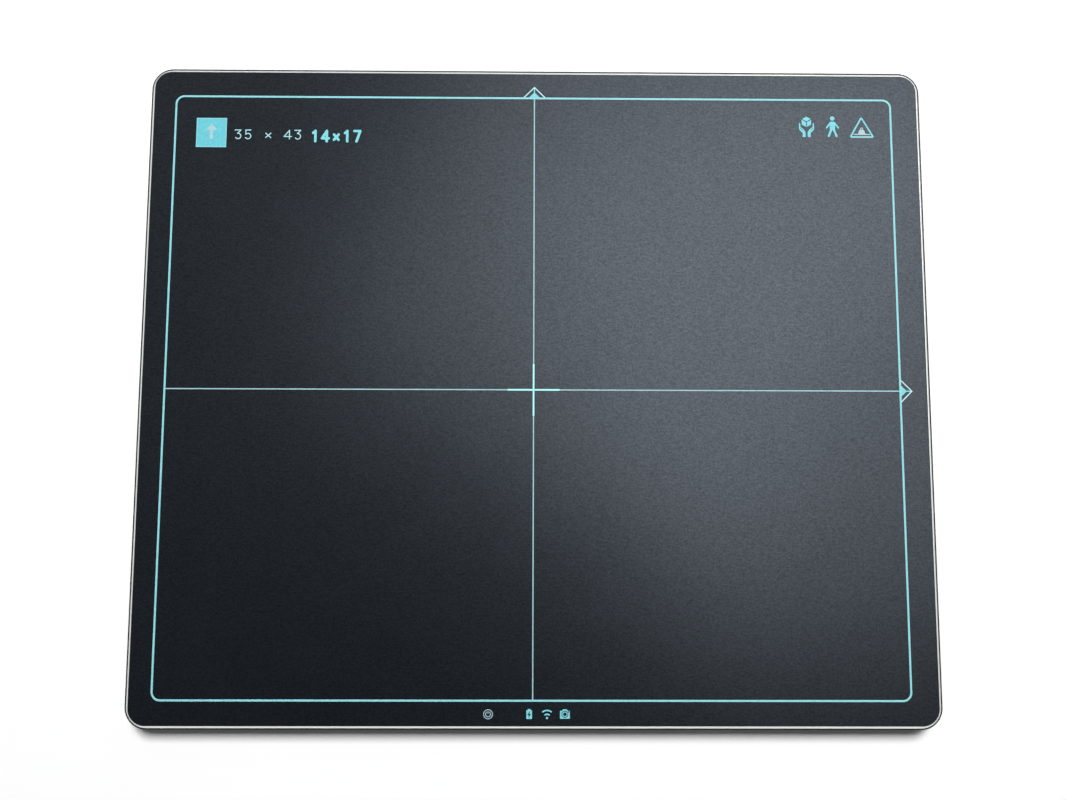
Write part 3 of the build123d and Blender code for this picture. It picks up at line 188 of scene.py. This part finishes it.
def printed(name, dark, light):
    """Printed ink: an even colour with a faint mottle and a slightly uneven film."""
    look = Look(name)
    fine = look.noise(scale=900.0)
    look.mottle(fine, dark, light)
    film = look.noise(scale=60.0)
    look.drive("Roughness", look.spread(film, noise_core, target=(0.45, 0.6)))
    look.bump(fine, strength=0.3, distance=0.00001)
    look.set(Specular_IOR_Level=0.4)
    return look


def give(look, *names):
    """Puts a look on CAD nodes."""
    for name in names:
        data = nodes[name].data
        data.materials.clear()
        data.materials.append(look.material)


# Front plate: dark blue-grey coat with a fine speckle, a faint diagonal grain and a soft sheen
plate_dark = (5, 9, 13)
plate_light = (16, 20, 27)
speckle_weight = 0.5
grain_weight = 0.25
cloud_weight = 0.06
plate = Look("plate_coat")
speckle = plate.noise(scale=950.0)
grain = plate.noise(scale=260.0, stretch=(1.0, 5.0, 1.0), turn=0.7)
clouds = plate.noise(scale=45.0, detail=3.0)
speckle_part = plate.spread(speckle, noise_wide, (0.0, speckle_weight))
grain_part = plate.spread(grain, noise_wide, (0.0, grain_weight))
cloud_part = plate.spread(clouds, noise_wide, (0.0, cloud_weight))
tone = plate.math("ADD", plate.math("ADD", speckle_part, grain_part), cloud_part)
plate.drive("Base Color", plate.blend(tone, linear(*plate_dark), linear(*plate_light)))
plate.drive("Roughness", plate.spread(clouds, noise_core, target=(0.285, 0.295)))
# The lighter specks shine more than the dark ground
shine = plate.spread(tone, source=(0.075, 0.735), target=(0.36, 0.84))
plate.drive("Specular IOR Level", shine)
plate.bump(plate.math("ADD", speckle, grain), strength=0.4, distance=0.00002)
plate.set(Specular_Tint=(0.78, 0.88, 1.0, 1.0))
give(plate, "front_plate")

# Print: the border line, and the thin centre lines with a brighter cross in the middle
give(printed("ink_line", dark=(135, 204, 213), light=(152, 219, 226)), "active_area_border")

cross_reach = 0.0151
cross_bright = (178, 249, 252)
lines_low, lines_high = span("centre_lines")
centre = (lines_low + lines_high) / 2
cross = printed("ink_cross", dark=(148, 190, 199), light=(166, 205, 212))
cross.recolor(cross.within(centre.xy, cross_reach), cross_bright)
give(cross, "centre_lines")

# The two arrows' outer strokes, at 45 degrees, are paler than their cores
stroke = 0.0012
stroke_pale = (186, 228, 232)
arrows_high = span("centre_arrows")[1]
arrows = printed("ink_arrow", dark=(115, 198, 209), light=(132, 213, 221))
up_reach = arrows.math("ADD", arrows.away("X", centre.x), arrows.axis("Y"))
right_reach = arrows.math("ADD", arrows.away("Y", centre.y), arrows.axis("X"))
outer_up = arrows.math("GREATER_THAN", up_reach, arrows_high.y - stroke)
outer_right = arrows.math("GREATER_THAN", right_reach, arrows_high.x - stroke)
upper_one = arrows.math("LESS_THAN", arrows.axis("X"), arrows_high.x / 2)
outer = arrows.math("ADD", arrows.math("MULTIPLY", outer_up, upper_one), outer_right)
arrows.recolor(outer, stroke_pale)
give(arrows, "centre_arrows")

# The tile has a lighter rim, and a pale arrow on it
rim_width = 0.00055
rim_light = (135, 210, 219)
tile_low, tile_high = span("pointer_tile")
tile_centre = (tile_low + tile_high) / 2
tile_inner = (tile_high.x - tile_low.x) / 2 - rim_width
tile = printed("ink_tile", dark=(98, 189, 203), light=(112, 201, 213))
rim = tile.math("SUBTRACT", 1.0, tile.within(tile_centre.xy, tile_inner))
tile.recolor(rim, rim_light)
give(tile, "pointer_tile")
give(printed("ink_pale", dark=(162, 197, 204), light=(173, 206, 212)), "pointer_arrow")

# The light figures on the left are paler than the bold ones
light_share = 0.567
figures_pale = (168, 217, 223)
figures_low, figures_high = span("size_figures")
light_end = figures_low.x + light_share * (figures_high.x - figures_low.x)
figures = printed("ink_figures", dark=(118, 204, 215), light=(136, 217, 224))
figures.recolor(figures.math("LESS_THAN", figures.axis("X"), light_end), figures_pale)
give(figures, "size_figures")

# The triangle is the last of the handling symbols, and what stands inside it is paler
triangle_half = 0.007
inner_apex = 0.0102
inner_foot = 0.0006
inner_slope = 0.57
inner_pale = (168, 199, 205)
symbols_low, symbols_high = span("handling_symbols")
symbols = printed("ink_symbols", dark=(112, 197, 209), light=(131, 211, 220))
below_apex = symbols.math("SUBTRACT", symbols_low.y + inner_apex, symbols.axis("Y"))
half_inside = symbols.math("MULTIPLY", below_apex, inner_slope)
from_middle = symbols.away("X", symbols_high.x - triangle_half)
between_sides = symbols.math("LESS_THAN", from_middle, half_inside)
above_foot = symbols.math("GREATER_THAN", symbols.axis("Y"), symbols_low.y + inner_foot)
symbols.recolor(symbols.math("MULTIPLY", between_sides, above_foot), inner_pale)
give(symbols, "handling_symbols")

# The power symbol, the first in the row, is grey
power_width = 0.009
power_grey = (160, 190, 196)
power_end = span("status_symbols")[0].x + power_width
status = printed("ink_status", dark=(114, 200, 211), light=(134, 214, 222))
status.recolor(status.math("LESS_THAN", status.axis("X"), power_end), power_grey)
give(status, "status_symbols")

# Shell
bezel = Look("bezel_metal")
bezel_fine = bezel.noise(scale=2600.0)
bezel.mottle(bezel_fine, dark=(222, 226, 220), light=(236, 239, 234), source=whole_scale)
bezel_gloss = bezel.noise(scale=120.0, detail=3.0)
bezel.drive("Roughness", bezel.spread(bezel_gloss, noise_core, target=(0.28, 0.34)))
bezel.bump(bezel_fine, strength=0.1, distance=0.00001)
bezel.set(Metallic=1.0)
give(bezel, "front_bezel")
# The side frame's dark coat is partly painted shade: it is made this dark to stand in for the shaded dark
# outline round the panel's edge
give(
    grained("frame_coat", dark=(12, 13, 15), light=(21, 23, 25), rough=0.5, grain=1900.0, level=0.2),
    "side_frame",
)
give(
    grained("cover_coat", dark=(33, 35, 38), light=(47, 50, 54), rough=0.5, grain=1300.0, depth=0.00005),
    "rear_cover",
)
give(
    grained("black_plastic", dark=(16, 16, 18), light=(27, 27, 30), rough=0.5, grain=1500.0),
    "finger_cups", "antenna_windows", "port_insert", "battery_tray", "latch_guides",
    "battery_connector", "switch_body", "switch_plunger",
)
give(
    grained(
        "battery_plastic", dark=(28, 30, 33), light=(40, 43, 46),
        rough=0.48, grain=1600.0, depth=0.00004,
    ),
    "battery_case", "battery_lid",
)
give(
    grained("latch_plastic", dark=(92, 96, 100), light=(112, 116, 120), rough=0.45, grain=1700.0),
    "latch_left", "latch_right",
)
give(
    grained(
        "pad_rubber", dark=(20, 20, 21), light=(34, 34, 35),
        rough=0.75, grain=1100.0, depth=0.00005, level=0.3,
    ),
    "rear_pads", "button_seal", "rear_gasket", "bezel_seal",
)
give(
    metal(
        "button_metal", dark=(150, 154, 158), light=(176, 180, 184),
        rough=0.32, grain=2200.0, metallic=0.9,
    ),
    "power_button",
)
give(
    metal("screw_steel", dark=(88, 90, 93), light=(120, 122, 125), rough=0.35, grain=2500.0),
    "rear_screws", "support_screws", "board_screws", "latch_spring_left", "latch_spring_right",
)
give(
    grained(
        "label_film", dark=(150, 153, 157), light=(164, 167, 171),
        rough=0.4, grain=500.0, depth=0.00001,
    ),
    "label_plate",
)
give(
    metal("contact_gold", dark=(214, 172, 92), light=(236, 200, 122), rough=0.25, grain=1800.0),
    "port_contacts", "battery_pads", "battery_spring_pins", "antennas",
)
give(
    metal("magnet_nickel", dark=(176, 176, 174), light=(200, 200, 198), rough=0.22, grain=1500.0),
    "port_magnets",
)

# Inside
give(
    grained(
        "foam", dark=(52, 52, 54), light=(84, 84, 86),
        rough=0.95, grain=700.0, depth=0.0002, level=0.2,
    ),
    "foam_pad",
)
give(
    grained("scintillator_sheet", dark=(222, 222, 208), light=(236, 236, 224), rough=0.6, grain=400.0),
    "scintillator",
)
give(
    metal(
        "shield_sheet", dark=(96, 99, 104), light=(120, 123, 128),
        rough=0.5, grain=300.0, depth=0.00002, metallic=0.8,
    ),
    "backscatter_shield",
)
give(
    metal(
        "support_metal", dark=(176, 178, 180), light=(196, 198, 200),
        rough=0.4, grain=900.0, depth=0.00002,
    ),
    "support_plate", "board_standoffs",
)
give(
    grained("circuit_green", dark=(18, 86, 50), light=(30, 108, 64), rough=0.4, grain=350.0, depth=0.00002),
    "main_board", "readout_board", "gate_board", "button_board", "battery_board",
)
give(
    grained("chip_black", dark=(20, 20, 22), light=(32, 32, 35), rough=0.55, grain=1200.0),
    "board_chips",
)
give(
    metal("can_steel", dark=(176, 177, 176), light=(200, 201, 200), rough=0.3, grain=1300.0),
    "shield_cans", "wireless_module",
)
give(
    grained("flex_amber", dark=(176, 104, 32), light=(204, 134, 52), rough=0.3, grain=300.0, depth=0.00001),
    "gate_flexes", "readout_flexes",
)
give(
    grained("cable_white", dark=(206, 206, 200), light=(222, 222, 216), rough=0.5, grain=600.0),
    "board_cables",
)
give(
    metal(
        "cell_foil", dark=(168, 170, 174), light=(190, 192, 196),
        rough=0.35, grain=200.0, depth=0.00004, metallic=0.9,
    ),
    "battery_cells",
)
give(
    grained("led_body", dark=(226, 226, 214), light=(238, 238, 228), rough=0.35, grain=900.0),
    "status_leds",
)

# Clear pieces
glass = Look("sensor_glass")
glass.mottle(glass.noise(scale=40.0), (150, 176, 172), (164, 190, 186), source=whole_scale)
glass.set(Roughness=0.08, Transmission_Weight=0.5, IOR=1.5)
give(glass, "sensor_glass")

lens = Look("lens_plastic")
lens.mottle(lens.noise(scale=700.0), (186, 206, 212), (206, 222, 228), source=whole_scale)
lens.set(Roughness=0.18, Transmission_Weight=0.35, IOR=1.49)
give(lens, "status_lenses")

# Floor: a white table top just under the pads, which goes on past the picture on all sides
floor_reach = 20.0
floor_gap = 0.0003
floor_height = cad_box[0][2] - floor_gap
bpy.ops.mesh.primitive_plane_add(size=2 * floor_reach, location=(0.0, 0.0, floor_height))
floor = bpy.context.object
floor.name = "floor"
white = Look("table_white")
white.mottle(white.noise(scale=8.0), (251, 251, 251), (254, 254, 254), source=whole_scale)
white.set(Roughness=0.9, Specular_IOR_Level=0.0)
# Away from the object it shines by itself, as far as camera, reflections and glass see it
near_end = 0.5
far_start = 1.6
near_glow = 0.03
far_glow = 1.0
distance = white.vector("LENGTH", "Value", white.place)
glow_level = white.spread(distance, (near_end, far_start), (near_glow, far_glow), smooth=True)
floor_ray = white.add("LightPath").outputs
mirrored = white.math("ADD", floor_ray["Is Glossy Ray"], floor_ray["Is Transmission Ray"])
seen = white.math("MINIMUM", white.math("ADD", floor_ray["Is Camera Ray"], mirrored), 1.0)
glow = white.add("Emission")
white.link(white.math("MULTIPLY", glow_level, seen), glow.inputs["Strength"])
both = white.add("AddShader")
white.feed(both.inputs, (white.shader.outputs["BSDF"], glow.outputs["Emission"]))
white.link(both.outputs["Shader"], white.tree.nodes["Material Output"].inputs["Surface"])
floor.data.materials.append(white.material)

# World: a dim sky that is brightest beyond the far edge, over a bright horizon
world = bpy.data.worlds.new("studio")
bpy.context.scene.world = world
world.use_nodes = True
world.node_tree.nodes.clear()
sky = Graph(world.node_tree, "Generated")
sky_ray = sky.add("LightPath").outputs
sky_dim = 0.005
sky_bright = 0.34
bright_side = Vector((-0.5, 1.64, 1.0)).normalized()
facing = sky.vector("DOT_PRODUCT", "Value", sky.place, bright_side)
overhead = sky.spread(facing, (-0.1, 1.0), (sky_dim, sky_bright), smooth=True)
horizon_top = 0.8
horizon_full = 0.3
horizon = sky.spread(sky.axis("Z"), (horizon_top, horizon_full), whole_scale, smooth=True)


def dimmed(shine, share):
    """A part of the sky: reflections see all of it, and only its share falls on things."""
    strength = sky.math("MULTIPLY_ADD", sky_ray["Is Glossy Ray"], 1.0 - share, share)
    return sky.math("MULTIPLY", shine, strength)


overhead_share = 0.2
horizon_share = 0.15
soft = sky.add("Background")
soft.inputs["Color"].default_value = (0.97, 0.99, 1.0, 1.0)
soft_level = sky.math("ADD", dimmed(overhead, overhead_share), dimmed(horizon, horizon_share))
sky.link(soft_level, soft.inputs["Strength"])
# Camera and glass see plain white instead
plain = sky.add("Background")
plain.inputs["Color"].default_value = (1.0, 1.0, 1.0, 1.0)
plain.inputs["Strength"].default_value = 1.0
clear = sky.math("MAXIMUM", sky_ray["Is Camera Ray"], sky_ray["Is Transmission Ray"])
chosen = sky.add("MixShader")
sky.feed(chosen.inputs, (clear, soft.outputs["Background"], plain.outputs["Background"]))
sky.link(chosen.outputs["Shader"], sky.add("OutputWorld").inputs["Surface"])


def area_light(name, place, size, power):
    """A square soft light that faces the middle of the object."""
    data = bpy.data.lights.new(name, "AREA")
    data.size = size
    data.energy = power
    lamp = bpy.data.objects.new(name, data)
    lamp.location = place
    lamp.rotation_euler = (-Vector(place)).to_track_quat("-Z", "Y").to_euler()
    bpy.context.scene.collection.objects.link(lamp)
    return lamp


# The window: light that falls on things, from behind the far edge, so that the near edge has a shadow
window = area_light("window", place=(0.3, 1.95, 3.2), size=1.2, power=172.0)
window.visible_glossy = False
# Two soft panels that show only as the sheen on glossy surfaces
key = area_light("key", place=(0.66, 1.13, 3.78), size=2.8, power=47.3)
key.visible_diffuse = False
side = area_light("side", place=(1.8, 0.76, 3.49), size=3.29, power=61.0)
side.visible_diffuse = False

# Camera, solved from the outline in the photograph
camera_place = (-0.0047, -0.0430, 0.4587)
camera_back = Vector((-0.0068, -0.08206, 0.9966)).normalized()
camera_side = Vector((0.99997, 0.003, 0.00707))
camera_data = bpy.data.cameras.new("camera")
camera_data.sensor_width = 36.0
camera_data.lens = 26.0
camera_data.clip_start = 0.01
camera = bpy.data.objects.new("camera", camera_data)
camera_up = camera_back.cross(camera_side).normalized()
camera_right = camera_up.cross(camera_back).normalized()
turned = Matrix((camera_right, camera_up, camera_back)).transposed().to_4x4()
camera.matrix_world = Matrix.Translation(camera_place) @ turned
bpy.context.scene.collection.objects.link(camera)
bpy.context.scene.camera = camera
bpy.context.scene.view_settings.view_transform = "Standard"
